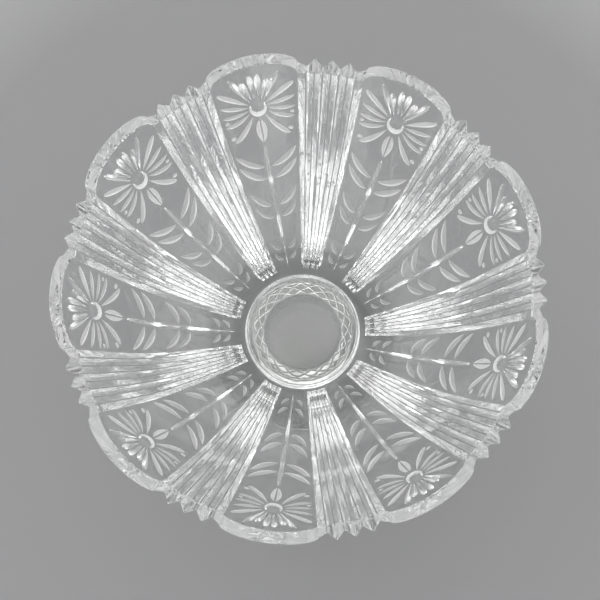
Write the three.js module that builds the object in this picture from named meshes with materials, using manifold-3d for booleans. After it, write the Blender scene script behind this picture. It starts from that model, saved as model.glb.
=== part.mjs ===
// Pedestal fruit bowl in clear pressed glass: a deep scalloped bowl with nine fluted fans, bonded
// to a solid diamond-cut pedestal. Millimetres, +Z up, origin at the centre of the foot's underside.
import Module from "manifold-3d";
import * as THREE from "three";

// Pattern round the axis
const PANEL_COUNT = 9; // plain arched panels, with a fluted fan between each pair
const FAN_ANGLE = 17; // degrees of each pitch that the fan takes
const FLUTES_PER_FAN = 4; // V flutes in a fan, with a ridge between neighbours
const STEPS_PER_ARCH = 6; // facets across a plain panel
const FRONT_ANGLE = -90; // the middle of one plain panel faces -Y

// Bowl, with heights above its joint face
const RIM_RADIUS = 125; // outside, at the top of an arch
const BOWL_HEIGHT = 130; // joint face to the top of an arch
const WALL = 5.6; // thickness square to the wall
const RIM_SLOPE = 68; // degrees from the horizontal, at the rim
const BASE_SLOPE = 38; // degrees from the horizontal, at the base
const BASE_RADIUS = 38; // where the wall starts
const BASE_HEIGHT = 5; // collar below the wall
const WALL_FULLNESS = 0.95; // 1 pulls the wall right into the corner of its two slopes
const FLOOR_BLEND_RADIUS = 58; // where the inside turns from wall to rounded floor
const ARCH_RISE = 8; // arch top above the fan's flat edge
const FLUTE_DEPTH = 3.5; // ridge to valley, measured radially at the rim
const RIDGE_RISE = 1.5; // ridges stand proud of the plain panels by this much at the rim
const RIM_FLARE = 0.14; // share of the wall, under the rim, over which the ridges rise
const VALLEY_DEPTH = 3.2; // valleys below the plain panels under the flare, for a wall as wide as the rim
const VALLEY_TAPER = 0.7; // power of the wall's radius that the valleys follow down the wall
const FLUTE_RUN_OUT = 0.06; // share of the wall over which flutes start from nothing

// Cut flower on each plain panel, drawn on the panel laid flat: [across, up the wall from its foot]
const FLOWER_WALL = 155.2; // length of wall that the flower is drawn for
const HUB = [0, 117.2];
const HUB_RADII = [4.85, 6.8];
const HUB_DEPTH = 2;
const HUB_SIDES = 8;
const PETAL_START = 1.13; // petals start outside the hub, in hub radii
const CUT_SLOPE = 1; // depth of a cut over half its width
// Petals of one half: bearing from the hub in degrees, tip from the hub, rise of the middle, width
const PETALS = [
  [80, [2.3, 26.1], 0, 3.3],
  [60, [7.2, 22.2], 0, 3.4],
  [44, [13.4, 26.4], 0, 3.3],
  [28, [21, 18.2], -0.5, 3.2],
  [12, [20.8, 7.4], -1, 2.7],
  [-6, [20.5, -0.9], -1.5, 2.6],
  [-24, [19.6, -8.6], -2.2, 2.8],
  [-50, [15.8, -22.6], -2.6, 3.3],
];
const PETAL_WIDEST = 0.65; // share of a petal's length
// Leaves of one half: root, tip, width
const LEAVES = [
  [[2.1, 70.7], [17.6, 84.2], 3.2],
  [[2.3, 62], [16.8, 75.2], 3.2],
  [[2.2, 43.5], [13.6, 54.8], 2.9],
  [[2.2, 35.5], [12.1, 45.2], 2.8],
];
const LEAF_SAG = 0.8; // middle of a leaf below its chord, in widths
const STEM_ENDS = [86.6, 3];
const STEM_WIDTH = 2.5;
const STEM_SHAPE = [0.12, 0.3, 0.5, 0.7, 0.88]; // shares of the stem's length where it bends with the wall
const BUD_ENDS = [107.6, 89.6];
const BUD_OUT = [0.55, 1.75, 0.35]; // across, at the top, middle and tip of each lobe
const BUD_WIDTH = 2.3;

// Joint
const JOINT_RADIUS = 33.6;
const COLLAR_HEIGHT = 2; // straight part of the bowl's collar
const BOND_THICKNESS = 0.3;
const BOND_INSET = 0.5; // film stops short of the collar's edge

// Pedestal, with heights above the foot's underside
const PEDESTAL_HEIGHT = 52;
const FLANGE_HEIGHT = 2.2; // straight edge under the joint face
const LEDGE = 1.2; // flat ring between the flange and the diamonds
const DIAMOND_TOP_RADIUS = 30;
const DIAMOND_BOTTOM_RADIUS = 23.2;
const DIAMOND_TOP_HEIGHT = 46.5;
const DIAMOND_BOTTOM_HEIGHT = 42.7;
const DIAMOND_ROWS = 2; // rows of diamonds, each set between those of the next
const DIAMONDS_ROUND = 18;
const DIAMOND_POINT = 0.6; // how far each diamond stands proud of its corners
const WAIST_RADIUS = 22;
const WAIST_HEIGHT = 24;
const FOOT_RADIUS = 56;
const FOOT_EDGE = 5; // straight edge of the foot
const FOOT_BEVEL = 1.2; // rounded arris of the foot
const FOOT_SLOPE = 9; // degrees of fall on top of the foot, at its edge

// Sampling
const WALL_STEPS = 8;
const INSIDE_STEPS = 5;
const INSIDE_SIDES = 54;
const FLOOR_STEPS = 3;
const NECK_STEPS = 6;
const FLARE_STEPS = 8;
const SOLVE_STEPS = 50; // halvings, down to the last digit

const radians = THREE.MathUtils.degToRad;
const pitch = 360 / PANEL_COUNT;
const arch = pitch - FAN_ANGLE;
const jointHeight = PEDESTAL_HEIGHT + BOND_THICKNESS;

const glass = new THREE.MeshStandardMaterial({
  name: "clear_glass",
  color: 0xeef2f1,
  roughness: 0.04,
  metalness: 0,
});
const bond = new THREE.MeshStandardMaterial({
  name: "clear_bond",
  color: 0xf4f4ef,
  roughness: 0.15,
  metalness: 0,
});

// A closed solid from one profile per station round the axis. Every profile is a list of [radius, height]
// with the same number of points, and starts and ends on the axis: up the outside, then back to the axis.
function turnedSolid(angles, profileAt) {
  const profiles = angles.map(profileAt);
  const last = profiles[0].length - 1;
  const ring = last - 1;
  const position = [0, 0, profiles[0][0][1], 0, 0, profiles[0][last][1]];
  profiles.forEach((profile, i) => {
    const a = radians(angles[i] + FRONT_ANGLE);
    for (const [r, z] of profile.slice(1, last)) position.push(r * Math.cos(a), r * Math.sin(a), z);
  });
  const vertex = (i, k) => 2 + (i % angles.length) * ring + (k - 1);
  const index = [];
  for (let i = 0; i < angles.length; i++) {
    index.push(0, vertex(i + 1, 1), vertex(i, 1));
    for (let k = 1; k < ring; k++) {
      const [a, b, c, d] = [vertex(i, k), vertex(i + 1, k), vertex(i + 1, k + 1), vertex(i, k + 1)];
      const next = profiles[(i + 1) % angles.length];
      // Each facet folds along the diagonal nearer the axis, which leaves the diamonds their points.
      const rising = profiles[i][k][0] + next[k + 1][0];
      const falling = next[k][0] + profiles[i][k + 1][0];
      if (rising < falling) index.push(a, b, c, a, c, d);
      else index.push(a, b, d, b, c, d);
    }
    index.push(vertex(i, ring), vertex(i + 1, ring), 1);
  }
  const geometry = new THREE.BufferGeometry();
  geometry.setAttribute("position", new THREE.Float32BufferAttribute(position, 3));
  geometry.setIndex(index);
  return geometry;
}

const evenly = (count, from, to) =>
  Array.from({ length: count + 1 }, (_, i) => THREE.MathUtils.lerp(from, to, i / count));

// Outside of the bowl's wall: two straight slopes, rounded into each other.
const along = (point, degrees, length) =>
  new THREE.Vector2(Math.cos(radians(degrees)), Math.sin(radians(degrees))).multiplyScalar(length).add(point);
const wallFoot = new THREE.Vector2(BASE_RADIUS, BASE_HEIGHT);
const wallTop = new THREE.Vector2(RIM_RADIUS, BOWL_HEIGHT);
const reach = wallTop.clone().sub(wallFoot);
const turn = Math.sin(radians(RIM_SLOPE - BASE_SLOPE));
const footArm = (reach.x * Math.sin(radians(RIM_SLOPE)) - reach.y * Math.cos(radians(RIM_SLOPE))) / turn;
const topArm = (reach.y * Math.cos(radians(BASE_SLOPE)) - reach.x * Math.sin(radians(BASE_SLOPE))) / turn;
const wallCurve = new THREE.CubicBezierCurve(
  wallFoot,
  along(wallFoot, BASE_SLOPE, footArm * WALL_FULLNESS),
  along(wallTop, RIM_SLOPE, -topArm * WALL_FULLNESS),
  wallTop,
);

// Inside of the wall: the same curve moved in by the wall's thickness.
function insideAt(t) {
  const tangent = wallCurve.getTangent(t);
  return wallCurve.getPoint(t).add(new THREE.Vector2(-tangent.y, tangent.x).multiplyScalar(WALL));
}

// Where a rising curve passes a value, by halving.
function solve(valueAt, wanted) {
  let [low, high] = [0, 1];
  for (let i = 0; i < SOLVE_STEPS; i++) {
    const middle = (low + high) / 2;
    if (valueAt(middle) < wanted) low = middle;
    else high = middle;
  }
  return (low + high) / 2;
}

const floorStart = solve((t) => insideAt(t).x, FLOOR_BLEND_RADIUS);
const floorTangent = wallCurve.getTangent(floorStart);
const floorAngle = Math.atan2(floorTangent.y, floorTangent.x);
const floorBall = FLOOR_BLEND_RADIUS / Math.sin(floorAngle);
const floorCentre = insideAt(floorStart).y + floorBall * Math.cos(floorAngle);

// Height of the rim at an angle from the middle of a plain panel: a round arch, then the fan's flat edge.
function rimHeight(fromMiddle) {
  const across = Math.min(1, Math.abs(fromMiddle) / (arch / 2));
  return BOWL_HEIGHT - ARCH_RISE + ARCH_RISE * Math.sqrt(1 - across * across);
}

// How far the outside stands out from the plain wall: ridges proud at the rim, flute valleys sunk.
function fluteOffset(fromMiddle, t, rimAt) {
  const intoFan = (Math.abs(fromMiddle) - arch / 2) / (FAN_ANGLE / FLUTES_PER_FAN);
  if (intoFan <= 0) return 0;
  const flare = Math.max(0, 1 - (rimAt - t) / RIM_FLARE) ** 2;
  const lowValley = -VALLEY_DEPTH * (wallCurve.getPoint(t).x / RIM_RADIUS) ** VALLEY_TAPER;
  const valley = THREE.MathUtils.lerp(lowValley, RIDGE_RISE - FLUTE_DEPTH, flare);
  const nearest = Math.round(intoFan);
  const crest = nearest ? RIDGE_RISE * flare : 0;
  const started = Math.min(1, t / FLUTE_RUN_OUT);
  return started * THREE.MathUtils.lerp(crest, valley, 2 * Math.abs(intoFan - nearest));
}

// The bowl filled up to its rim.
function filledProfile(angle) {
  const fromMiddle = THREE.MathUtils.euclideanModulo(angle + pitch / 2, pitch) - pitch / 2;
  const top = rimHeight(fromMiddle);
  const outerEnd = solve((t) => wallCurve.getPoint(t).y, top);
  const profile = [
    [0, 0],
    [JOINT_RADIUS, 0],
    [JOINT_RADIUS, COLLAR_HEIGHT],
  ];
  for (const t of evenly(WALL_STEPS, 0, outerEnd)) {
    const p = wallCurve.getPoint(t);
    profile.push([p.x + fluteOffset(fromMiddle, t, outerEnd), p.y]);
  }
  profile.push([0, BOWL_HEIGHT - ARCH_RISE / 2]);
  return profile;
}

// The hollow, from the rounded floor to above the rim.
function hollowProfile() {
  const profile = [];
  for (const a of evenly(FLOOR_STEPS, 0, floorAngle).slice(0, -1)) {
    profile.push([floorBall * Math.sin(a), floorCentre - floorBall * Math.cos(a)]);
  }
  for (const t of evenly(INSIDE_STEPS, floorStart, 1)) {
    const p = insideAt(t);
    profile.push([p.x, p.y]);
  }
  profile.push([0, insideAt(1).y]);
  return profile;
}

// Stations that put an edge on every panel border, flute valley and ridge. Across a plain panel they
// crowd towards its borders, where the arch is steep.
const bowlAngles = [];
for (let panel = 0; panel < PANEL_COUNT; panel++) {
  const middle = panel * pitch;
  for (const turned of evenly(STEPS_PER_ARCH, 0, Math.PI).slice(0, -1)) {
    bowlAngles.push(middle - (arch / 2) * Math.cos(turned));
  }
  const fan = [middle + arch / 2, middle + arch / 2 + FAN_ANGLE];
  bowlAngles.push(...evenly(2 * FLUTES_PER_FAN, ...fan).slice(0, -1));
}

// Cuts of the flower. Each is a spindle, as deep under the wall's surface as it is high above it.
const flowerScale = wallCurve.getLength() / FLOWER_WALL;

// A point of the flat panel wrapped on the wall, raised square to it.
function onWall([across, up], raised, middle) {
  const share = (up * flowerScale) / wallCurve.getLength();
  const p = wallCurve.getPointAt(share);
  const tangent = wallCurve.getTangentAt(share);
  const a = radians(middle + FRONT_ANGLE) + (across * flowerScale) / p.x;
  const r = p.x + raised * flowerScale * tangent.y;
  return [r * Math.cos(a), r * Math.sin(a), p.y - raised * flowerScale * tangent.x];
}

const cutPosition = [];
const cutIndex = [];

// Joins rings of points from one end point to the other.
function addSpindle(start, rings, end) {
  const first = cutPosition.length / 3;
  cutPosition.push(...start, ...rings.flat(2), ...end);
  const sides = rings[0].length;
  const last = first + 1 + rings.length * sides;
  for (let k = 0; k < sides; k++) {
    const next = (k + 1) % sides;
    for (let ring = 0; ring < rings.length - 1; ring++) {
      const base = first + 1 + ring * sides;
      cutIndex.push(base + k, base + next, base + sides + next);
      cutIndex.push(base + k, base + sides + next, base + sides + k);
    }
    cutIndex.push(first, first + 1 + next, first + 1 + k);
    cutIndex.push(last - sides + k, last - sides + next, last);
  }
}

// A V cut along a path on the flat panel. Between its pointed ends it has the full width at every point.
function addGroove(path, width, middle) {
  const half = width / 2;
  const rings = path.slice(1, -1).map((at, i) => {
    const point = new THREE.Vector2(...at);
    const before = new THREE.Vector2(...path[i]);
    const along = new THREE.Vector2(...path[i + 2]).sub(before).setLength(half);
    const left = [point.x - along.y, point.y + along.x];
    const right = [point.x + along.y, point.y - along.x];
    const deep = CUT_SLOPE * half;
    return [
      onWall(left, 0, middle),
      onWall(at, deep, middle),
      onWall(right, 0, middle),
      onWall(at, -deep, middle),
    ];
  });
  addSpindle(onWall(path[0], 0, middle), rings, onWall(path.at(-1), 0, middle));
}

function addFlower(middle) {
  const rim = evenly(HUB_SIDES, 0, 2 * Math.PI).slice(0, -1);
  const hubRim = rim.map((a) => [HUB[0] + HUB_RADII[0] * Math.cos(a), HUB[1] + HUB_RADII[1] * Math.sin(a)]);
  addSpindle(
    onWall(HUB, -HUB_DEPTH, middle),
    [hubRim.map((at) => onWall(at, 0, middle))],
    onWall(HUB, HUB_DEPTH, middle),
  );
  addGroove([0, ...STEM_SHAPE, 1].map((t) => [0, THREE.MathUtils.lerp(...STEM_ENDS, t)]), STEM_WIDTH, middle);
  for (const side of [1, -1]) {
    for (const [bearing, tip, rise, width] of PETALS) {
      const out = [Math.cos(radians(bearing)), Math.sin(radians(bearing))];
      const start = out.map((v, i) => PETAL_START * HUB_RADII[i] * v);
      const widest = start.map((v, i) => THREE.MathUtils.lerp(v, tip[i], PETAL_WIDEST));
      widest[1] += rise;
      const path = [start, widest, tip].map(([x, y]) => [side * (HUB[0] + x), HUB[1] + y]);
      addGroove(path, width, middle);
    }
    for (const [root, tip, width] of LEAVES) {
      const belly = [(root[0] + tip[0]) / 2, (root[1] + tip[1]) / 2 - LEAF_SAG * width];
      addGroove([root, belly, tip].map(([x, y]) => [side * x, y]), width, middle);
    }
    const lobe = BUD_OUT.map((x, i) => [side * x, THREE.MathUtils.lerp(...BUD_ENDS, i / 2)]);
    addGroove(lobe, BUD_WIDTH, middle);
  }
}

for (let panel = 0; panel < PANEL_COUNT; panel++) addFlower(panel * pitch);

const wasm = await Module();
wasm.setup();

function solid(position, index) {
  const vertProperties = Float32Array.from(position);
  const triVerts = Uint32Array.from(index);
  return new wasm.Manifold(new wasm.Mesh({ numProp: 3, vertProperties, triVerts }));
}

function turnedBody(angles, profileAt) {
  const { attributes, index } = turnedSolid(angles, profileAt);
  return solid(attributes.position.array, index.array);
}

// The bowl, hollowed, with its flowers cut into it.
function cutBowl() {
  const filled = turnedBody(bowlAngles, filledProfile);
  const hollow = turnedBody(evenly(INSIDE_SIDES, 0, 360).slice(0, -1), hollowProfile);
  const bowl = filled.subtract(hollow).subtract(solid(cutPosition, cutIndex));
  const { vertProperties, triVerts } = bowl.getMesh();
  const geometry = new THREE.BufferGeometry();
  geometry.setAttribute("position", new THREE.BufferAttribute(vertProperties, 3));
  geometry.setIndex(new THREE.BufferAttribute(triVerts, 1));
  return geometry;
}

// Pedestal: a flange, a band of pointed diamonds, a waist and a spreading foot.
const neckCurve = new THREE.QuadraticBezierCurve(
  new THREE.Vector2(DIAMOND_BOTTOM_RADIUS, DIAMOND_BOTTOM_HEIGHT),
  new THREE.Vector2(WAIST_RADIUS, (DIAMOND_BOTTOM_HEIGHT + WAIST_HEIGHT) / 2),
  new THREE.Vector2(WAIST_RADIUS, WAIST_HEIGHT),
);
const footTop = new THREE.Vector2(FOOT_RADIUS - FOOT_BEVEL, FOOT_EDGE + FOOT_BEVEL);
const flareCurve = new THREE.CubicBezierCurve(
  new THREE.Vector2(WAIST_RADIUS, WAIST_HEIGHT),
  new THREE.Vector2(WAIST_RADIUS, (WAIST_HEIGHT + footTop.y) / 2),
  along(footTop, 180 - FOOT_SLOPE, (FOOT_RADIUS - WAIST_RADIUS) / 2),
  footTop,
);

// Square to the diamond band, outwards.
const bandOut = new THREE.Vector2(
  DIAMOND_TOP_HEIGHT - DIAMOND_BOTTOM_HEIGHT,
  DIAMOND_BOTTOM_RADIUS - DIAMOND_TOP_RADIUS,
).normalize();

function pedestalProfile(angle) {
  const station = Math.round(angle / (180 / DIAMONDS_ROUND));
  const profile = [
    [0, 0],
    [FOOT_RADIUS - FOOT_BEVEL, 0],
    [FOOT_RADIUS, FOOT_BEVEL],
    [FOOT_RADIUS, FOOT_EDGE],
  ];
  for (const t of evenly(FLARE_STEPS, 1, 0)) {
    const p = flareCurve.getPoint(t);
    profile.push([p.x, p.y]);
  }
  for (const t of evenly(NECK_STEPS, 1, 0).slice(1)) {
    const p = neckCurve.getPoint(t);
    profile.push([p.x, p.y]);
  }
  for (let row = 1; row <= DIAMOND_ROWS; row++) {
    const share = row / (DIAMOND_ROWS + 1);
    const r = THREE.MathUtils.lerp(DIAMOND_BOTTOM_RADIUS, DIAMOND_TOP_RADIUS, share);
    const z = THREE.MathUtils.lerp(DIAMOND_BOTTOM_HEIGHT, DIAMOND_TOP_HEIGHT, share);
    const point = (station + row) % 2 ? DIAMOND_POINT : 0;
    profile.push([r + point * bandOut.x, z + point * bandOut.y]);
  }
  profile.push([DIAMOND_TOP_RADIUS, DIAMOND_TOP_HEIGHT]);
  profile.push([DIAMOND_TOP_RADIUS + LEDGE, DIAMOND_TOP_HEIGHT]);
  profile.push([JOINT_RADIUS, PEDESTAL_HEIGHT - FLANGE_HEIGHT]);
  profile.push([JOINT_RADIUS, PEDESTAL_HEIGHT]);
  profile.push([0, PEDESTAL_HEIGHT]);
  return profile;
}

const pedestalAngles = evenly(2 * DIAMONDS_ROUND, 0, 360).slice(0, -1);

function piece(name, geometry, material, height) {
  const mesh = new THREE.Mesh(geometry, material);
  mesh.name = name;
  mesh.position.z = height;
  return mesh;
}

const bondFilm = new THREE.CylinderGeometry(
  JOINT_RADIUS - BOND_INSET,
  JOINT_RADIUS - BOND_INSET,
  BOND_THICKNESS,
  2 * DIAMONDS_ROUND,
).rotateX(Math.PI / 2);

const fruitBowl = new THREE.Group();
fruitBowl.add(
  piece("bowl", cutBowl(), glass, jointHeight),
  piece("bond_film", bondFilm, bond, PEDESTAL_HEIGHT + BOND_THICKNESS / 2),
  piece("pedestal", turnedSolid(pedestalAngles, pedestalProfile), glass, 0),
);

export default fruitBowl;
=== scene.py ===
"""The looks of a pressed-glass pedestal fruit bowl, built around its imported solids.

The wall's shape is worked out in millimetres with heights above the bowl's joint face, then put in place in
metres.
"""
import math

import bmesh
import bpy
import numpy as np
from mathutils import Matrix, Vector
from mathutils.geometry import delaunay_2d_cdt


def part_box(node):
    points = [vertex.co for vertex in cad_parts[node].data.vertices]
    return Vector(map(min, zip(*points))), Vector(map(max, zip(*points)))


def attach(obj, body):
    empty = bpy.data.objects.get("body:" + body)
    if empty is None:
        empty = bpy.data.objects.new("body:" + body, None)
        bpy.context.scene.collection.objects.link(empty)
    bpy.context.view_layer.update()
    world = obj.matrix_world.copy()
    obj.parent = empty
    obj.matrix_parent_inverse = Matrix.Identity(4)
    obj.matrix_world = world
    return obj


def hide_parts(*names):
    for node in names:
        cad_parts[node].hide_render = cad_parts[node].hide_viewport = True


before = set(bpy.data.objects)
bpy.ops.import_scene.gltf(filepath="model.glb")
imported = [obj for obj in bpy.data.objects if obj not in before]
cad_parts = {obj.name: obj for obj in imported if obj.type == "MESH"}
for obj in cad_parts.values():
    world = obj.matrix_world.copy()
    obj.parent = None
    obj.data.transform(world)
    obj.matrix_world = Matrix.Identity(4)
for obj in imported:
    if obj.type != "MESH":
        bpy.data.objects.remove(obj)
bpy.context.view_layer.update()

MM = 0.001

# Sizes of the solids, in millimetres
bowl_low, bowl_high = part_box("bowl")
_, pedestal_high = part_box("pedestal")
film_low, film_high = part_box("bond_film")
JOINT_Z = bowl_low.z / MM
BOWL_HEIGHT = (bowl_high.z - bowl_low.z) / MM
RIM_RADIUS = -bowl_low.y / MM
PEDESTAL_HEIGHT = pedestal_high.z / MM
FOOT_RADIUS = pedestal_high.x / MM
FILM_RADIUS = film_high.x / MM

# Pattern round the axis, as in the solids
PANELS = 9
PITCH = 2 * math.pi / PANELS
FAN = math.radians(17)
ARCH_HALF = (PITCH - FAN) / 2
FLUTES = 4
FRONT = -math.pi / 2

# Wall, as in the solids
WALL = 5.6
RIM_SLOPE = math.radians(68)
BASE_SLOPE = math.radians(38)
BASE_RADIUS = 38
BASE_HEIGHT = 5
WALL_FULLNESS = 0.95
FLOOR_BLEND_RADIUS = 58
ARCH_RISE = 8
FLUTE_DEPTH = 3.5
RIDGE_RISE = 1.5

JOINT_RADIUS = 33.6
COLLAR_HEIGHT = 2

# Flutes below the rim: the ridges sink to the panels' level, the valleys grow steeper and run out in an arc
RIM_FLARE = 32
VALLEY_LOW = 3.2
VALLEY_TAPER = 0.35
FLUTE_RUN_OUT = 8

# Finish of the edges
RIM_ROUND = 0.8
RIDGE_FLAT = 0.05
VALLEY_FLAT = 0.05
COLLAR_ROUND = 0.5
CORNER = 0.3  # how far in from a corner the middle of its rounding lies, as a share of the rounding

# Fineness of the meshes
ROWS = 48
ARCH_STEPS = 40
BOTTOM_STEPS = 8
INSIDE_ROWS = 40
FLOOR_ROWS = 14
COLLAR_STEPS = 6
FILL_SPACING = 4.0
FILL_CLEARANCE = 1.3
FILL_SNAP = 1e-5
WELD = 4e-6
CREASE = math.radians(13)


class Profile:
    """The wall's outside and inside in the plane of the axis, at even steps of arc length from the base."""

    STEPS = 1600

    def __init__(self):
        foot = np.array([BASE_RADIUS, BASE_HEIGHT], float)
        top = np.array([RIM_RADIUS, BOWL_HEIGHT], float)
        reach = top - foot
        turn = math.sin(RIM_SLOPE - BASE_SLOPE)
        foot_arm = (reach[0] * math.sin(RIM_SLOPE) - reach[1] * math.cos(RIM_SLOPE)) / turn
        top_arm = (reach[1] * math.cos(BASE_SLOPE) - reach[0] * math.sin(BASE_SLOPE)) / turn
        near_foot = foot + foot_arm * WALL_FULLNESS * np.array([math.cos(BASE_SLOPE), math.sin(BASE_SLOPE)])
        near_top = top - top_arm * WALL_FULLNESS * np.array([math.cos(RIM_SLOPE), math.sin(RIM_SLOPE)])
        t = np.linspace(0, 1, self.STEPS)[:, None]
        curve = (1 - t) ** 3 * foot + 3 * (1 - t) ** 2 * t * near_foot
        curve = curve + 3 * (1 - t) * t**2 * near_top + t**3 * top
        along = np.gradient(curve, axis=0)
        along /= np.linalg.norm(along, axis=1)[:, None]
        self.s = np.concatenate([[0], np.cumsum(np.linalg.norm(np.diff(curve, axis=0), axis=1))])
        self.length = self.s[-1]
        self.outside = curve
        self.outward = np.stack([along[:, 1], -along[:, 0]], axis=1)
        self.inside = curve - WALL * self.outward
        self.slope = np.arctan2(along[:, 1], along[:, 0])

    def radius(self, s):
        return np.interp(s, self.s, self.outside[:, 0])

    def height(self, s):
        return np.interp(s, self.s, self.outside[:, 1])

    def sunk(self, s, depth):
        """Radius and height of a point that lies a depth below the outside, square to it."""
        normal = [np.interp(s, self.s, self.outward[:, k]) for k in (0, 1)]
        return self.radius(s) - depth * normal[0], self.height(s) - depth * normal[1]

    def s_at_height(self, z):
        return np.interp(z, self.outside[:, 1], self.s)

    def outside_radius_at(self, z):
        return np.interp(z, self.outside[:, 1], self.outside[:, 0])

    def inside_radius_at(self, z):
        return np.interp(z, self.inside[:, 1], self.inside[:, 0])

    def inside_step_at_height(self, z):
        return np.interp(z, self.inside[:, 1], np.arange(self.STEPS))

    def inside_at_step(self, step):
        steps = np.arange(self.STEPS)
        return np.interp(step, steps, self.inside[:, 0]), np.interp(step, steps, self.inside[:, 1])


wall = Profile()


def rim_height(angle):
    """Height of the rim at an angle from the middle of a plain panel."""
    across = min(1, abs(angle) / ARCH_HALF)
    return BOWL_HEIGHT - ARCH_RISE + ARCH_RISE * math.sqrt(1 - across * across)


def on_axis_circle(radius, height, angle):
    return (radius * math.cos(angle), radius * math.sin(angle), height)


def bezier(points, steps):
    """Points along a Bezier curve of any degree."""
    result = []
    for t in np.linspace(0, 1, steps + 1):
        row = np.array(points, float)
        while len(row) > 1:
            row = row[:-1] * (1 - t) + row[1:] * t
        result.append(tuple(row[0]))
    return result


class Surface:
    """Points in millimetres, the faces between them and how frosted each cut face is."""

    def __init__(self):
        self.points = []
        self.faces = []
        self.frost = {}

    def add(self, points):
        first = len(self.points)
        self.points.extend(points)
        return range(first, len(self.points))

    def grid(self, rows, closed=False, fold=None):
        """Quads between rows of points, which may close round the axis and be folded along a diagonal."""
        rows = [self.add(row) for row in rows]
        count = len(rows[0])
        for k, (low, high) in enumerate(zip(rows, rows[1:])):
            for i in range(count if closed else count - 1):
                j = (i + 1) % count
                corners = [low[i], low[j], high[j], high[i]]
                turn = fold(i, k) if fold else None
                if turn is None:
                    self.faces.append(tuple(corners))
                    continue
                a, b, c, d = corners[turn:] + corners[:turn]
                self.faces.extend([(a, b, c), (a, c, d)])
        return rows

    def cap(self, ring, centre):
        """Triangles from a closed ring to a point on the axis."""
        tip = self.add([centre])[0]
        for i, corner in enumerate(ring):
            self.faces.append((corner, ring[(i + 1) % len(ring)], tip))

    def turned(self, angle):
        """A copy turned about the axis."""
        copy = Surface()
        spin = Matrix.Rotation(angle, 3, "Z")
        copy.points = [tuple(spin @ Vector(p)) for p in self.points]
        copy.faces = list(self.faces)
        copy.frost = dict(self.frost)
        return copy

    def join(self, other):
        first, first_face = len(self.points), len(self.faces)
        self.points.extend(other.points)
        self.faces.extend(tuple(first + i for i in face) for face in other.faces)
        self.frost.update((first_face + i, value) for i, value in other.frost.items())


FROST = "frost"


def make_piece(name, surface, lift, material):
    """A closed mesh object from a surface, with smooth curves and sharp creases."""
    mesh = bpy.data.meshes.new(name)
    bm = bmesh.new()
    corners = [bm.verts.new((x * MM, y * MM, (z + lift) * MM)) for x, y, z in surface.points]
    frost = bm.faces.layers.float.new(FROST)
    for k, face in enumerate(surface.faces):
        bm.faces.new([corners[i] for i in face])[frost] = surface.frost.get(k, 0)
    bmesh.ops.remove_doubles(bm, verts=bm.verts, dist=WELD)
    bmesh.ops.recalc_face_normals(bm, faces=bm.faces)
    bm.to_mesh(mesh)
    bm.free()
    mesh.shade_smooth()
    mesh.set_sharp_from_angle(angle=CREASE)
    mesh.materials.append(material)
    piece = bpy.data.objects.new(name, mesh)
    bpy.context.scene.collection.objects.link(piece)
    return piece


# How much of the light a face scatters: polished and frosted cuts, flutes and the rim
POLISHED, FROSTED = 0.04, 1.0
FLUTE_FROST = 0.01
RIM_FROST = 0.09

# Cuts of the ornament, on the panel laid flat: x across it and y up the wall's arc, in millimetres
CUT_SLOPE = 1.0
CUT_STEPS = 12
HUB = np.array([0, 117.2])
HUB_RADII = np.array([4.85, 6.8])
HUB_DEPTH = 2.0
HUB_SIDES, HUB_RINGS = 28, 8
# Middle of the circle that leaves the hub's crescent of frost, a painted highlight on the side of the base,
# as a share of the hub's radii
HIGHLIGHT_CRESCENT_INNER = np.array([0, 0.7])


class Cut:
    """An outline on the flat panel, the sunk points inside it, the faces between and how frosted each is."""

    def __init__(self, outline):
        self.outline = np.array(outline)
        self.sunk = []
        self.faces = []
        self.frost = []

    def add(self, face, frost):
        self.faces.append(face)
        self.frost.append(frost)


def groove(path, width, frost, root, end, steps=CUT_STEPS):
    """A V-shaped cut along a bent path.

    Root and end say how pointed its two ends are: 1 is straight, less is round.
    """
    start, middle, stop = (np.array(p, float) for p in path)
    bend = 2 * middle - (start + stop) / 2
    t = (1 - np.cos(np.linspace(0, math.pi, steps + 1))) / 2
    spine = ((1 - t) ** 2)[:, None] * start + (2 * t * (1 - t))[:, None] * bend + (t**2)[:, None] * stop
    along = np.gradient(spine, axis=0)
    along /= np.linalg.norm(along, axis=1)[:, None]
    side = np.stack([-along[:, 1], along[:, 0]], axis=1)
    widest = root / (root + end)
    share = t**root * (1 - t) ** end / (widest**root * (1 - widest) ** end)
    half = (width / 2 * share)[:, None]
    left, right = spine + side * half, spine - side * half
    cut = Cut([start, *left[1:-1], stop, *right[-2:0:-1]])
    cut.sunk = [(*spine[i], CUT_SLOPE * half[i, 0]) for i in range(1, steps)]
    corners = len(cut.outline)
    for i in range(steps):
        deep = [("sunk", i - 1), ("sunk", i)]
        for rail in ([i, i + 1], [-i % corners, -(i + 1) % corners]):
            face = [("edge", k) for k in rail] + deep[::-1]
            if i == 0:
                del face[3]
            if i == steps - 1:
                del face[2]
            cut.add(face, frost)
    return cut


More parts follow.
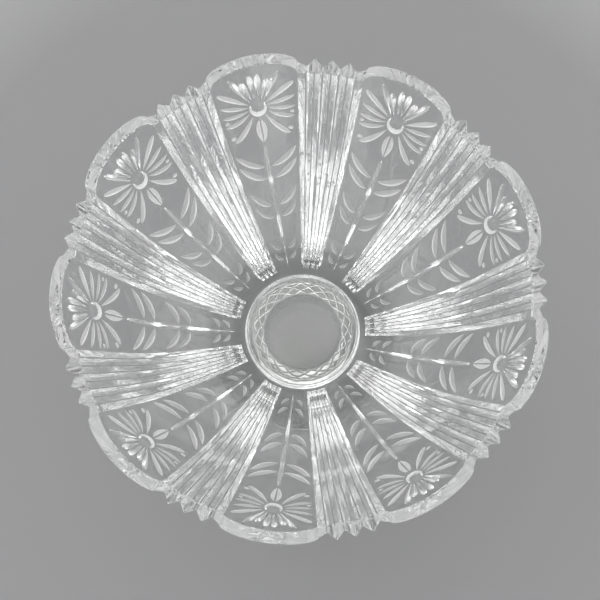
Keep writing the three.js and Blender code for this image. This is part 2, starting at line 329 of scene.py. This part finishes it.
def dish(centre, radii, depth, frost, sides, rings):
    """A round hollow. Frost is a function of the place in it, as a share of the radii."""
    turn = np.linspace(0, 2 * math.pi, sides, endpoint=False)
    circle = np.stack([np.cos(turn), np.sin(turn)], axis=1) * radii
    cut = Cut(centre + circle)
    for ring in range(1, rings):
        share = 1 - ring / rings
        cut.sunk.extend((*(centre + circle[i] * share), depth * (1 - share**3)) for i in range(sides))
    cut.sunk.append((*centre, depth))
    last = len(cut.sunk) - 1
    for i in range(sides):
        j = (i + 1) % sides
        middle = np.array([math.cos(turn[i] + math.pi / sides), math.sin(turn[i] + math.pi / sides)])
        strip = [(("edge", i), ("edge", j))]
        strip += [(("sunk", ring * sides + i), ("sunk", ring * sides + j)) for ring in range(rings - 1)]
        for ring, (outer, inner) in enumerate(zip(strip, strip[1:])):
            cut.add([*outer, *inner[::-1]], frost(middle * (1 - (ring + 0.5) / rings)))
        cut.add([*strip[-1], ("sunk", last)], frost(middle * 0.5 / rings))
    return cut


def crescent_painted_highlight(place):
    """Frost of the hub, a painted highlight: a crescent on the side of the base."""
    return FROSTED if np.linalg.norm(place - HIGHLIGHT_CRESCENT_INNER) > 1 else 0


def even(place):
    """Frost of a small hollow: even all over."""
    return FROSTED


# Petals start at this share of the hub's radii, and those steeper than a bearing are polished
PETAL_START = 1.13
STEEP = 35
PETAL_ROOT = 1.0
# Petals of one half: bearing from the hub in degrees, tip from the hub, bow of the middle, width, end
PETALS = (
    (80, (2.3, 26.1), 0.0, 3.3, 0.42),
    (60, (7.2, 22.2), 0.0, 3.4, 0.42),
    (44, (13.4, 26.4), 0.0, 3.3, 0.42),
    (28, (21.0, 18.2), -0.5, 3.5, 0.5),
    (12, (20.8, 7.4), -1.0, 3.1, 0.8),
    (-6, (20.5, -0.9), -1.5, 3.0, 0.8),
    (-24, (19.6, -8.6), -2.2, 3.2, 0.7),
    (-50, (15.8, -22.6), -2.6, 3.7, 0.6),
)
# Round ends of the lower petals: centre from the hub, radius
HOOKS = (((18.3, -5.6), 1.2), ((16.4, -18.6), 1.5))
HOOK_DEPTH = 0.5  # as a share of the radius
HOOK_SIDES, HOOK_RINGS = 14, 3
# Leaves of one half: root, tip, width
LEAVES = (
    ((2.1, 70.7), (17.6, 84.2), 4.0),
    ((2.3, 62.0), (16.8, 75.2), 4.0),
    ((2.2, 43.5), (13.6, 54.8), 3.6),
    ((2.2, 35.5), (12.1, 45.2), 3.4),
    ((2.0, 14.4), (7.5, 20.4), 2.5),
    ((1.9, 7.4), (6.4, 12.4), 2.2),
)
LEAF_BOW = -2 / 3  # as a share of the width
LEAF_END = 0.8
STEM_TOP, STEM_FOOT, STEM_WIDTH = 86.6, 3.0, 2.5
STEM_ROOT, STEM_END, STEM_STEPS = 0.25, 0.6, 26
# Lobes of the bud: heights of both ends, and distances from the middle line at the top, the bulge and the tip
BUD_TOP, BUD_TIP = 107.6, 89.6
LOBE_TOP, LOBE_BULGE, LOBE_TIP = 0.55, 1.75, 0.35
LOBE_WIDEST = 0.55  # as a share of the height
LOBE_WIDTH = 2.5


def flower_cuts():
    """Hub, petals, bud, stem and leaves of one panel."""
    # The hub carries a painted highlight: frost in a crescent on the side of the base
    cuts = [dish(HUB, HUB_RADII, HUB_DEPTH, crescent_painted_highlight, HUB_SIDES, HUB_RINGS)]
    stem = ((0, STEM_TOP), (0, (STEM_TOP + STEM_FOOT) / 2), (0, STEM_FOOT))
    cuts.append(groove(stem, STEM_WIDTH, POLISHED, STEM_ROOT, STEM_END, STEM_STEPS))
    for side in (1, -1):
        mirror = np.array([side, 1])
        for bearing, tip, bow, width, end in PETALS:
            a = math.radians(bearing)
            start = PETAL_START * HUB_RADII * (math.cos(a), math.sin(a))
            middle = (start + tip) / 2 + (0, bow)
            petal = [HUB + mirror * p for p in (start, middle, np.array(tip))]
            frost = POLISHED if bearing > STEEP else FROSTED
            cuts.append(groove(petal, width, frost, PETAL_ROOT, end))
        for centre, radius in HOOKS:
            radii = np.array([radius, radius])
            cuts.append(dish(HUB + mirror * centre, radii, radius * HOOK_DEPTH, even, HOOK_SIDES, HOOK_RINGS))
        for root, tip, width in LEAVES:
            middle = (np.array(root) + tip) / 2 + (0, LEAF_BOW * width)
            leaf = [mirror * p for p in (np.array(root), middle, np.array(tip))]
            cuts.append(groove(leaf, width, FROSTED, LEAF_END, LEAF_END))
        widest = BUD_TIP + (BUD_TOP - BUD_TIP) * LOBE_WIDEST
        lobe = [mirror * p for p in ((LOBE_TOP, BUD_TOP), (LOBE_BULGE, widest), (LOBE_TIP, BUD_TIP))]
        cuts.append(groove(lobe, LOBE_WIDTH, FROSTED, LEAF_END, LEAF_END))
    return cuts


def inside_outline(points, outline):
    """Which points lie inside a closed outline."""
    x, y = points[:, 0][:, None], points[:, 1][:, None]
    x0, y0 = outline[:, 0], outline[:, 1]
    x1, y1 = np.roll(x0, -1), np.roll(y0, -1)
    crosses = (y0 > y) != (y1 > y)
    run = np.where(y1 == y0, 1, y1 - y0)
    return (crosses & (x < x0 + (y - y0) * (x1 - x0) / run)).sum(1) % 2 == 1


def signed_area(outline):
    """Area of a closed outline, positive where it runs anticlockwise."""
    x, y = outline[:, 0], outline[:, 1]
    return (x * np.roll(y, -1) - y * np.roll(x, -1)).sum() / 2


shoulder = wall.s_at_height(BOWL_HEIGHT - ARCH_RISE) - RIM_ROUND
border_rows = np.linspace(0, shoulder, ROWS + 1)
arch_angles = [-ARCH_HALF * math.cos(math.pi * i / ARCH_STEPS) for i in range(ARCH_STEPS + 1)]
bottom_angles = np.linspace(-ARCH_HALF, ARCH_HALF, BOTTOM_STEPS + 1)


def arch_top(angle):
    """How far up the wall the plain panel goes before the rim's rounding."""
    return wall.s_at_height(rim_height(angle)) - RIM_ROUND


def flat(angle, s):
    return (angle * wall.radius(s), s)


def wrapped(x, s, depth=0):
    """The place in the bowl of a point on the flat panel."""
    radius, height = wall.sunk(s, depth)
    return on_axis_circle(radius, height, x / wall.radius(s))


def panel_surface():
    """A plain panel with its cut flower, round the angle 0."""
    cuts = flower_cuts()
    border = [flat(-ARCH_HALF, s) for s in border_rows]
    border += [flat(a, arch_top(a)) for a in arch_angles[1:-1]]
    border += [flat(ARCH_HALF, s) for s in border_rows[::-1]]
    border += [flat(a, 0) for a in bottom_angles[-2:0:-1]]
    border = np.array(border)
    edge = np.concatenate([border] + [c.outline for c in cuts])
    low, high = border.min(0), border.max(0)
    columns = np.arange(low[0], high[0], FILL_SPACING)
    lines = np.arange(low[1], high[1], FILL_SPACING)
    fill = np.array([(x + FILL_SPACING / 2 * (k % 2), y) for k, y in enumerate(lines) for x in columns])
    fill = fill[inside_outline(fill, border)]
    for cut in cuts:
        fill = fill[~inside_outline(fill, cut.outline)]
    gap = np.linalg.norm(fill[:, None] - edge[None], axis=2).min(1)
    fill = fill[gap > FILL_CLEARANCE]
    loops, first = [], 0
    for outline in [border] + [c.outline for c in cuts]:
        loop = list(range(first, first + len(outline)))
        loops.append(loop if signed_area(outline) > 0 else loop[::-1])
        first += len(outline)
    given = [Vector(p) for p in np.concatenate([edge, fill])]
    points, _, faces, _, _, owners = delaunay_2d_cdt(given, [], loops, 1, FILL_SNAP)
    panel = Surface()
    ground = panel.add([wrapped(p.x, p.y) for p in points])
    panel.faces = [tuple(ground[i] for i in f) for f, own in zip(faces, owners) if own == [0]]
    for cut in cuts:
        at = {"edge": panel.add([wrapped(x, y) for x, y in cut.outline])}
        at["sunk"] = panel.add([wrapped(x, y, depth) for x, y, depth in cut.sunk])
        panel.frost.update((len(panel.faces) + i, frost) for i, frost in enumerate(cut.frost))
        panel.faces.extend(tuple(at[kind][k] for kind, k in face) for face in cut.faces)
    return panel


def fan_columns():
    """Angle of each of a fan's lines from the middle of the panel before it, and what the line is."""
    marks = [(0, "border")]
    for flute in range(FLUTES):
        marks += [(flute + 0.5 - VALLEY_FLAT, "valley"), (flute + 0.5 + VALLEY_FLAT, "valley")]
        marks += [(flute + 1 - RIDGE_FLAT, "ridge"), (flute + 1 + RIDGE_FLAT, "ridge")]
    marks[-2:] = [(FLUTES, "border")]
    return [(ARCH_HALF + mark * FAN / FLUTES, kind) for mark, kind in marks]


def stand_out(kind, s):
    """How far a line of the fan stands out from the plain wall."""
    if kind == "border":
        return 0
    flare = min(1, max(0, 1 - (shoulder - s) / RIM_FLARE)) ** 2
    rim, low = RIDGE_RISE, 0
    if kind == "valley":
        rim, low = RIDGE_RISE - FLUTE_DEPTH, -VALLEY_LOW * (wall.radius(s) / RIM_RADIUS) ** VALLEY_TAPER
    run_out = 1 - max(0, 1 - s / FLUTE_RUN_OUT) ** 2
    return (low + (rim - low) * flare) * run_out


def fluted(s, angle, kind):
    """A point on the outside of a fan."""
    return on_axis_circle(wall.radius(s) + stand_out(kind, s), wall.height(s), angle)


def fan_surface():
    """The flutes between two plain panels."""
    fan = Surface()
    fan.grid([[fluted(s, a, kind) for a, kind in fan_columns()] for s in border_rows])
    fan.frost = {i: FLUTE_FROST for i in range(len(fan.faces))}
    return fan


def round_the_axis(panel_angles):
    """The columns of every panel and fan in turn: angle, angle in the sector and what the column is."""
    sector = [(a, "border") for a in panel_angles[:-1]] + fan_columns()[:-1]
    return [(k * PITCH + a, a, kind) for k in range(PANELS) for a, kind in sector]


# Strips of faces across the rim's edge
RIM_STRIPS = 4


def rim_and_inside():
    """The rim's rounded edge, the smooth inside and the floor."""
    surface = Surface()
    full = round_the_axis(arch_angles)
    columns = [angle for angle, _, _ in full]
    tops = [rim_height(near) for _, near, _ in full]
    soft = RIM_ROUND * (1 - math.sqrt(0.5))
    rows = [[fluted(arch_top(near), angle, kind) for angle, near, kind in full]]
    inside_top = [wall.inside_radius_at(top) for top in tops]
    outside_top = [wall.outside_radius_at(top) + stand_out(kind, wall.s_at_height(top))
                   for top, (_, _, kind) in zip(tops, full)]
    for inset, drop in ((soft, soft), (RIM_ROUND, 0)):
        rows.append([on_axis_circle(r - inset, z - drop, a) for r, z, a in zip(outside_top, tops, columns)])
    for inset, drop in ((RIM_ROUND, 0), (soft, soft)):
        rows.append([on_axis_circle(r + inset, z - drop, a) for r, z, a in zip(inside_top, tops, columns)])
    floor_step = np.interp(FLOOR_BLEND_RADIUS, wall.inside[:, 0], np.arange(wall.STEPS))
    starts = [wall.inside_step_at_height(top - RIM_ROUND) for top in tops]
    for k in range(INSIDE_ROWS + 1):
        row = []
        for start, angle in zip(starts, columns):
            radius, height = wall.inside_at_step(start + (floor_step - start) * k / INSIDE_ROWS)
            row.append(on_axis_circle(radius, height, angle))
        rows.append(row)
    slope = np.interp(floor_step, np.arange(wall.STEPS), wall.slope)
    ball = FLOOR_BLEND_RADIUS / math.sin(slope)
    centre = wall.inside_at_step(floor_step)[1] + ball * math.cos(slope)
    for k in range(1, FLOOR_ROWS):
        a = slope * (1 - k / FLOOR_ROWS)
        radius, height = ball * math.sin(a), centre - ball * math.cos(a)
        rows.append([on_axis_circle(radius, height, angle) for angle in columns])
    rings = surface.grid(rows, closed=True)
    surface.frost = {i: RIM_FROST for i in range(RIM_STRIPS * len(full))}
    surface.cap(rings[-1], (0, 0, centre - ball))
    return surface


def collar():
    """The plain underside, from the end of the cuts to the joint face."""
    surface = Surface()
    columns = [angle for angle, _, _ in round_the_axis(list(bottom_angles))]
    bend = [(BASE_RADIUS, BASE_HEIGHT), (JOINT_RADIUS, COLLAR_HEIGHT), (JOINT_RADIUS, COLLAR_ROUND)]
    profile = bezier(bend, COLLAR_STEPS)
    corner = COLLAR_ROUND * CORNER
    profile += [(JOINT_RADIUS - corner, corner), (JOINT_RADIUS - COLLAR_ROUND, 0)]
    rings = surface.grid([[on_axis_circle(r, z, a) for a in columns] for r, z in profile], closed=True)
    surface.cap(rings[-1], (0, 0, 0))
    return surface


def bowl_surface():
    whole = Surface()
    panel, fan = panel_surface(), fan_surface()
    for k in range(PANELS):
        whole.join(panel.turned(k * PITCH))
        whole.join(fan.turned(k * PITCH))
    whole.join(rim_and_inside())
    whole.join(collar())
    return whole.turned(FRONT)


# Pedestal, with heights above the table

DIAMONDS = 18
DIAMOND_ROWS = 2
DIAMOND_STEPS = 10
DIAMOND_TOP = (31, 47.3)
DIAMOND_BOTTOM = (24.2, 43.6)
DIAMOND_RISE = 0.75
DIAMOND_GROOVE = 0.4
LEDGE = 0.6
FLANGE_HEIGHT = 0.9
WAIST_RADIUS = 23
WAIST_HEIGHT = 24
FOOT_EDGE = 5
FOOT_BEVEL = 1.2
FOOT_SLOPE = math.radians(9)
FOOT_STEPS, EDGE_STEPS, NECK_STEPS = 22, 4, 8


def diamond_height(column, line):
    """Height of the diamond band at a column and line of its grid: flat diamonds with V grooves between."""
    x, y = column / DIAMOND_STEPS, line / DIAMOND_STEPS
    from_middle = max(abs((x + y) % 2 - 1), abs((x - y) % 2 - 1))
    from_border = min(y, DIAMOND_ROWS + 1 - y)
    return DIAMOND_RISE * min(1, (1 - from_middle) / DIAMOND_GROOVE, from_border / DIAMOND_GROOVE)


def pedestal_surface():
    surface = Surface()
    columns = 2 * DIAMONDS * DIAMOND_STEPS
    angles = [FRONT + 2 * math.pi * i / columns for i in range(columns)]
    foot_top = np.array([FOOT_RADIUS - FOOT_BEVEL, FOOT_EDGE + FOOT_BEVEL])
    arm = (FOOT_RADIUS - WAIST_RADIUS) / 2
    waist = (WAIST_RADIUS, WAIST_HEIGHT)
    below_waist = (WAIST_RADIUS, (WAIST_HEIGHT + foot_top[1]) / 2)
    above_waist = (WAIST_RADIUS, (DIAMOND_BOTTOM[1] + WAIST_HEIGHT) / 2)
    up_the_foot = foot_top + (-arm * math.cos(FOOT_SLOPE), arm * math.sin(FOOT_SLOPE))
    rest_edge = [(FOOT_RADIUS - FOOT_BEVEL, 0), (FOOT_RADIUS, 0), (FOOT_RADIUS, FOOT_BEVEL)]
    lower = bezier(rest_edge, EDGE_STEPS)
    lower += bezier([(FOOT_RADIUS, FOOT_EDGE), (FOOT_RADIUS, foot_top[1]), foot_top], EDGE_STEPS)
    lower += bezier([foot_top, up_the_foot, below_waist, waist], FOOT_STEPS)[1:]
    lower += bezier([waist, above_waist, DIAMOND_BOTTOM], NECK_STEPS)[1:]
    rows = [[on_axis_circle(r, z, a) for a in angles] for r, z in lower]
    lines = (DIAMOND_ROWS + 1) * DIAMOND_STEPS
    first_line = len(rows) - 1
    outward = np.array([DIAMOND_TOP[1] - DIAMOND_BOTTOM[1], DIAMOND_BOTTOM[0] - DIAMOND_TOP[0]])
    outward = outward / np.linalg.norm(outward)
    for line in range(1, lines):
        share = line / lines
        r = DIAMOND_BOTTOM[0] + (DIAMOND_TOP[0] - DIAMOND_BOTTOM[0]) * share
        z = DIAMOND_BOTTOM[1] + (DIAMOND_TOP[1] - DIAMOND_BOTTOM[1]) * share
        row = []
        for i, angle in enumerate(angles):
            h = diamond_height(i, line)
            row.append(on_axis_circle(r + h * outward[0], z + h * outward[1], angle))
        rows.append(row)
    top = PEDESTAL_HEIGHT

    def fold(i, k):
        """The diagonal of a lattice cell that lies nearer the diamonds' surface."""
        line = k - first_line
        if not 0 <= line < lines:
            return None
        middle = diamond_height(i + 0.5, line + 0.5)
        rising = (diamond_height(i, line) + diamond_height(i + 1, line + 1)) / 2
        falling = (diamond_height(i + 1, line) + diamond_height(i, line + 1)) / 2
        return 0 if abs(rising - middle) <= abs(falling - middle) else 1

    corner = COLLAR_ROUND * CORNER
    upper = [
        DIAMOND_TOP,
        (DIAMOND_TOP[0] + LEDGE, DIAMOND_TOP[1]),
        (JOINT_RADIUS, top - FLANGE_HEIGHT),
        (JOINT_RADIUS, top - COLLAR_ROUND),
        (JOINT_RADIUS - corner, top - corner),
        (JOINT_RADIUS - COLLAR_ROUND, top),
    ]
    rows += [[on_axis_circle(r, z, a) for a in angles] for r, z in upper]
    rings = surface.grid(rows, closed=True, fold=fold)
    surface.cap(rings[0], (0, 0, 0))
    surface.cap(rings[-1], (0, 0, top))
    return surface


# The film reaches a little into both glasses, so that light passes the joint as it passes a clear bond
FILM_REACH = 0.05
FILM_SIDES = 96


def film_surface():
    surface = Surface()
    angles = [2 * math.pi * i / FILM_SIDES for i in range(FILM_SIDES)]
    low, high = film_low.z / MM - FILM_REACH, film_high.z / MM + FILM_REACH
    rows = [[on_axis_circle(FILM_RADIUS, z, a) for a in angles] for z in (low, high)]
    rings = surface.grid(rows, closed=True)
    surface.cap(rings[0], (0, 0, low))
    surface.cap(rings[1], (0, 0, high))
    return surface


# Materials: noises as scale per metre and detail, and the strength and depth of the glass's ripple

TINT_NOISE = (14, 2)
MOTTLE_NOISE = (260, 3)
WEAR_NOISE = (60, 4)
RIPPLE_NOISE = (90, 2)
MOTTLE_LEAST = 0.8
RIPPLE_STRENGTH, RIPPLE_DEPTH = 0.03, 0.002
WHITE, BLACK = (1, 1, 1), (0, 0, 0)


def new_material(name):
    material = bpy.data.materials.new(name)
    material.use_nodes = True
    return material, material.node_tree.nodes, material.node_tree.links


def noise(nodes, links, scale, detail):
    """A noise texture in object space, per metre."""
    place = nodes.new("ShaderNodeTexCoord")
    texture = nodes.new("ShaderNodeTexNoise")
    texture.inputs["Scale"].default_value = scale
    texture.inputs["Detail"].default_value = detail
    links.new(place.outputs["Object"], texture.inputs["Vector"])
    return texture.outputs["Fac"]


def ramp(nodes, links, source, stops):
    """Colours or grey levels along a source value."""
    node = nodes.new("ShaderNodeValToRGB")
    for element, (at, colour) in zip(node.color_ramp.elements, stops):
        element.position = at
        element.color = (*colour, 1)
    links.new(source, node.inputs["Fac"])
    return node.outputs["Color"]


def combined(nodes, links, operation, first, second):
    """A sum or product of two values."""
    node = nodes.new("ShaderNodeMath")
    node.operation = operation
    links.new(first, node.inputs[0])
    links.new(second, node.inputs[1])
    return node.outputs["Value"]


def glass(name, ior, tint, rough):
    """Clear glass with faint pressing marks: a slow ripple, a trace of tint and light wear.

    Cut faces have a mottled frost, which scatters the light that comes through.
    """
    material, nodes, links = new_material(name)
    shader = nodes["Principled BSDF"]
    shader.inputs["IOR"].default_value = ior
    tinge = ramp(nodes, links, noise(nodes, links, *TINT_NOISE), ((0.35, tint), (0.7, WHITE)))
    links.new(tinge, shader.inputs["Base Color"])
    cut = nodes.new("ShaderNodeAttribute")
    cut.attribute_name = FROST
    least = (MOTTLE_LEAST,) * 3
    mottle = ramp(nodes, links, noise(nodes, links, *MOTTLE_NOISE), ((0.3, least), (0.7, WHITE)))
    frost = combined(nodes, links, "MULTIPLY", cut.outputs["Fac"], mottle)
    clearness = nodes.new("ShaderNodeMapRange")
    clearness.inputs["To Min"].default_value = 1
    clearness.inputs["To Max"].default_value = 0
    links.new(frost, clearness.inputs["Value"])
    links.new(clearness.outputs["Result"], shader.inputs["Transmission Weight"])
    wear = ramp(nodes, links, noise(nodes, links, *WEAR_NOISE), ((0.5, BLACK), (0.8, (rough,) * 3)))
    links.new(wear, shader.inputs["Roughness"])
    bump = nodes.new("ShaderNodeBump")
    bump.inputs["Strength"].default_value = RIPPLE_STRENGTH
    bump.inputs["Distance"].default_value = RIPPLE_DEPTH
    links.new(noise(nodes, links, *RIPPLE_NOISE), bump.inputs["Height"])
    links.new(bump.outputs["Normal"], shader.inputs["Normal"])
    scatter = nodes.new("ShaderNodeBsdfTranslucent")
    scatter.inputs["Color"].default_value = (*WHITE, 1)
    whole = nodes.new("ShaderNodeMixShader")
    links.new(frost, whole.inputs["Fac"])
    links.new(shader.outputs["BSDF"], whole.inputs[1])
    links.new(scatter.outputs["BSDF"], whole.inputs[2])
    links.new(whole.outputs["Shader"], nodes["Material Output"].inputs["Surface"])
    return material


# The floor has painted shade: it is painted grey round the object and grows paler further out. Distances in
# metres
FLOOR_NEAR_PAINTED_SHADE, FLOOR_FAR = (0.32, 0.32, 0.325), (0.8, 0.8, 0.8)
PAINTED_SHADE_FADE_START, PAINTED_SHADE_FADE_END = 0.25, 0.6


def floor_with_painted_shade():
    material, nodes, links = new_material("pale_floor_painted_shade")
    shader = nodes["Principled BSDF"]
    shader.inputs["Roughness"].default_value = 0.9
    shader.inputs["Specular IOR Level"].default_value = 0.1
    place = nodes.new("ShaderNodeTexCoord")
    distance = nodes.new("ShaderNodeVectorMath")
    distance.operation = "LENGTH"
    links.new(place.outputs["Object"], distance.inputs[0])
    # Painted shade: the floor's colour is darker grey near the object and fades to pale further out
    stops = ((PAINTED_SHADE_FADE_START, FLOOR_NEAR_PAINTED_SHADE), (PAINTED_SHADE_FADE_END, FLOOR_FAR))
    links.new(ramp(nodes, links, distance.outputs["Value"], stops), shader.inputs["Base Color"])
    return material


clear = glass("clear_glass", 1.55, (0.955, 0.97, 0.965), 0.03)
bond = glass("clear_bond", 1.5, (0.97, 0.97, 0.95), 0.06)

# Pieces

for name, node, surface, lift, material, slot in (
    ("glass_bowl", "bowl", bowl_surface(), JOINT_Z, clear, "clear_glass"),
    ("glass_pedestal", "pedestal", pedestal_surface(), 0, clear, "clear_glass"),
    ("bond_disc", "bond_film", film_surface(), 0, bond, "clear_bond"),
):
    piece = make_piece(name, surface, lift, material)
    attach(piece, "root")
    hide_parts(node)

# Stage, with the floor a hair below the foot so that the two faces don't coincide, in metres

FLOOR_GAP = 0.0003
FLOOR_SIZE = 8
bpy.ops.mesh.primitive_plane_add(size=FLOOR_SIZE, location=(0, 0, -FLOOR_GAP))
floor = bpy.context.object
floor.name = "floor"
floor.data.materials.append(floor_with_painted_shade())

# Soft light panels round the stage: azimuth, height above the horizon and half-width in degrees, brightness.
# The key panel stands out from the surround. The low band round the horizon and the side panels add to both.
SURROUND = 0.6
KEY_PANEL = (120, 60, 36, 1.3)
LOW_BAND = (0, -90, 122, 0.4)
SIDE_PANELS = (
    (10, 26, 15, 0.9),
    (62, 14, 12, 0.9),
    (112, 22, 14, 0.7),
    (170, 20, 16, 0.9),
    (215, 12, 11, 0.9),
    (262, 28, 15, 0.8),
    (318, 16, 13, 0.9),
)
PANEL_EDGE = 6


def light_panel(nodes, links, place, panel, around):
    """Brightness of a soft-edged round panel, and of what is around it."""
    azimuth, height, half_width, brightness = panel
    a, h = math.radians(azimuth), math.radians(height)
    facing = nodes.new("ShaderNodeVectorMath")
    facing.operation = "DOT_PRODUCT"
    facing.inputs[1].default_value = (math.cos(h) * math.cos(a), math.cos(h) * math.sin(a), math.sin(h))
    links.new(place.outputs["Generated"], facing.inputs[0])
    level = nodes.new("ShaderNodeMapRange")
    level.interpolation_type = "SMOOTHSTEP"
    level.inputs["From Min"].default_value = math.cos(math.radians(half_width + PANEL_EDGE))
    level.inputs["From Max"].default_value = math.cos(math.radians(half_width - PANEL_EDGE))
    level.inputs["To Min"].default_value = around
    level.inputs["To Max"].default_value = brightness
    links.new(facing.outputs["Value"], level.inputs["Value"])
    return level.outputs["Result"]


def light_the_stage():
    """A world with all the panels in it."""
    world = bpy.data.worlds.new("studio")
    bpy.context.scene.world = world
    world.use_nodes = True
    nodes, links = world.node_tree.nodes, world.node_tree.links
    place = nodes.new("ShaderNodeTexCoord")
    total = light_panel(nodes, links, place, KEY_PANEL, SURROUND)
    for panel in (LOW_BAND, *SIDE_PANELS):
        total = combined(nodes, links, "ADD", total, light_panel(nodes, links, place, panel, 0))
    nodes["Background"].inputs["Color"].default_value = (*WHITE, 1)
    links.new(total, nodes["Background"].inputs["Strength"])


light_the_stage()

# Camera: fitted to the pattern's nine-fold repeat in the photograph, with distance and shift in rim radii
VIEW_TILT = math.radians(10.5)
VIEW_TURN = math.radians(2.3)
VIEW_DISTANCE = 5.5
VIEW_SHIFT = (0.004, 0.041)
PATTERN_TURN = math.radians(7.6)
RIM_PIXELS = 252.5
FOCAL_PIXELS = RIM_PIXELS * VIEW_DISTANCE
PICTURE_WIDTH = 600


def add_camera():
    back = Vector((math.sin(VIEW_TILT) * math.sin(VIEW_TURN), -math.sin(VIEW_TILT) * math.cos(VIEW_TURN),
                   math.cos(VIEW_TILT)))
    up = (Vector((0, 1, 0)) - back * back.y).normalized()
    right = up.cross(back)
    rim = RIM_RADIUS * MM
    place = (back * VIEW_DISTANCE - right * VIEW_SHIFT[0] - up * VIEW_SHIFT[1]) * rim
    frame_of_view = Matrix((right, up, back)).transposed().to_4x4()
    frame_of_view.translation = place
    spin = Matrix.Rotation(PATTERN_TURN, 4, "Z")
    lens = bpy.data.cameras.new("camera")
    lens.lens = FOCAL_PIXELS / PICTURE_WIDTH * lens.sensor_width
    camera = bpy.data.objects.new("camera", lens)
    camera.matrix_world = Matrix.Translation((0, 0, (JOINT_Z + BOWL_HEIGHT) * MM)) @ spin @ frame_of_view
    bpy.context.scene.collection.objects.link(camera)
    bpy.context.scene.camera = camera


add_camera()

# Light passes many glass faces before it leaves the bowl
GLASS_BOUNCES = 32
MIRROR_BOUNCES = 16

scene = bpy.context.scene
scene.view_settings.view_transform = "Standard"
scene.cycles.max_bounces = GLASS_BOUNCES
scene.cycles.transmission_bounces = GLASS_BOUNCES
scene.cycles.glossy_bounces = MIRROR_BOUNCES
